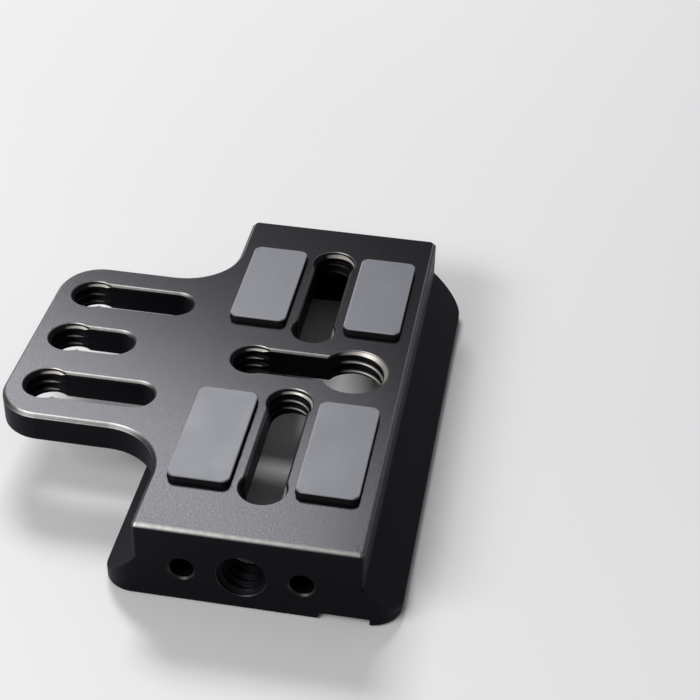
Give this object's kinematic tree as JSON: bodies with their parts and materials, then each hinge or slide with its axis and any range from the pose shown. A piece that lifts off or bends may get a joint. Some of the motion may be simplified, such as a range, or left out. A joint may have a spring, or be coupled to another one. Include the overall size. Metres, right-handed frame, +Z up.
{
  "type": "camera quick release plate",
  "caption": "Flat dovetail plate that screws under a camera and slides into a clamp, with rubber grip pads, keyhole slots and a slotted side wing for counterweights or accessories.",
  "frame": {"origin": "middle of the dovetail foot's underside, on the rail's centre line at half its length", "axes": "+Z up through the deck, +Y along the rail away from the front accessory port, +X across the rail away from the side wing"},
  "size_m": [0.0575, 0.07, 0.013],
  "materials": {
    "anodised_body": "black anodised, bead blasted",
    "grip_rubber": "matte"
  },
  "bodies": {
    "root": {"plate_body": "anodised_body", "pad_front_left": "grip_rubber", "pad_front_right": "grip_rubber", "pad_rear_left": "grip_rubber", "pad_rear_right": "grip_rubber"}
  },
  "joints": []
}
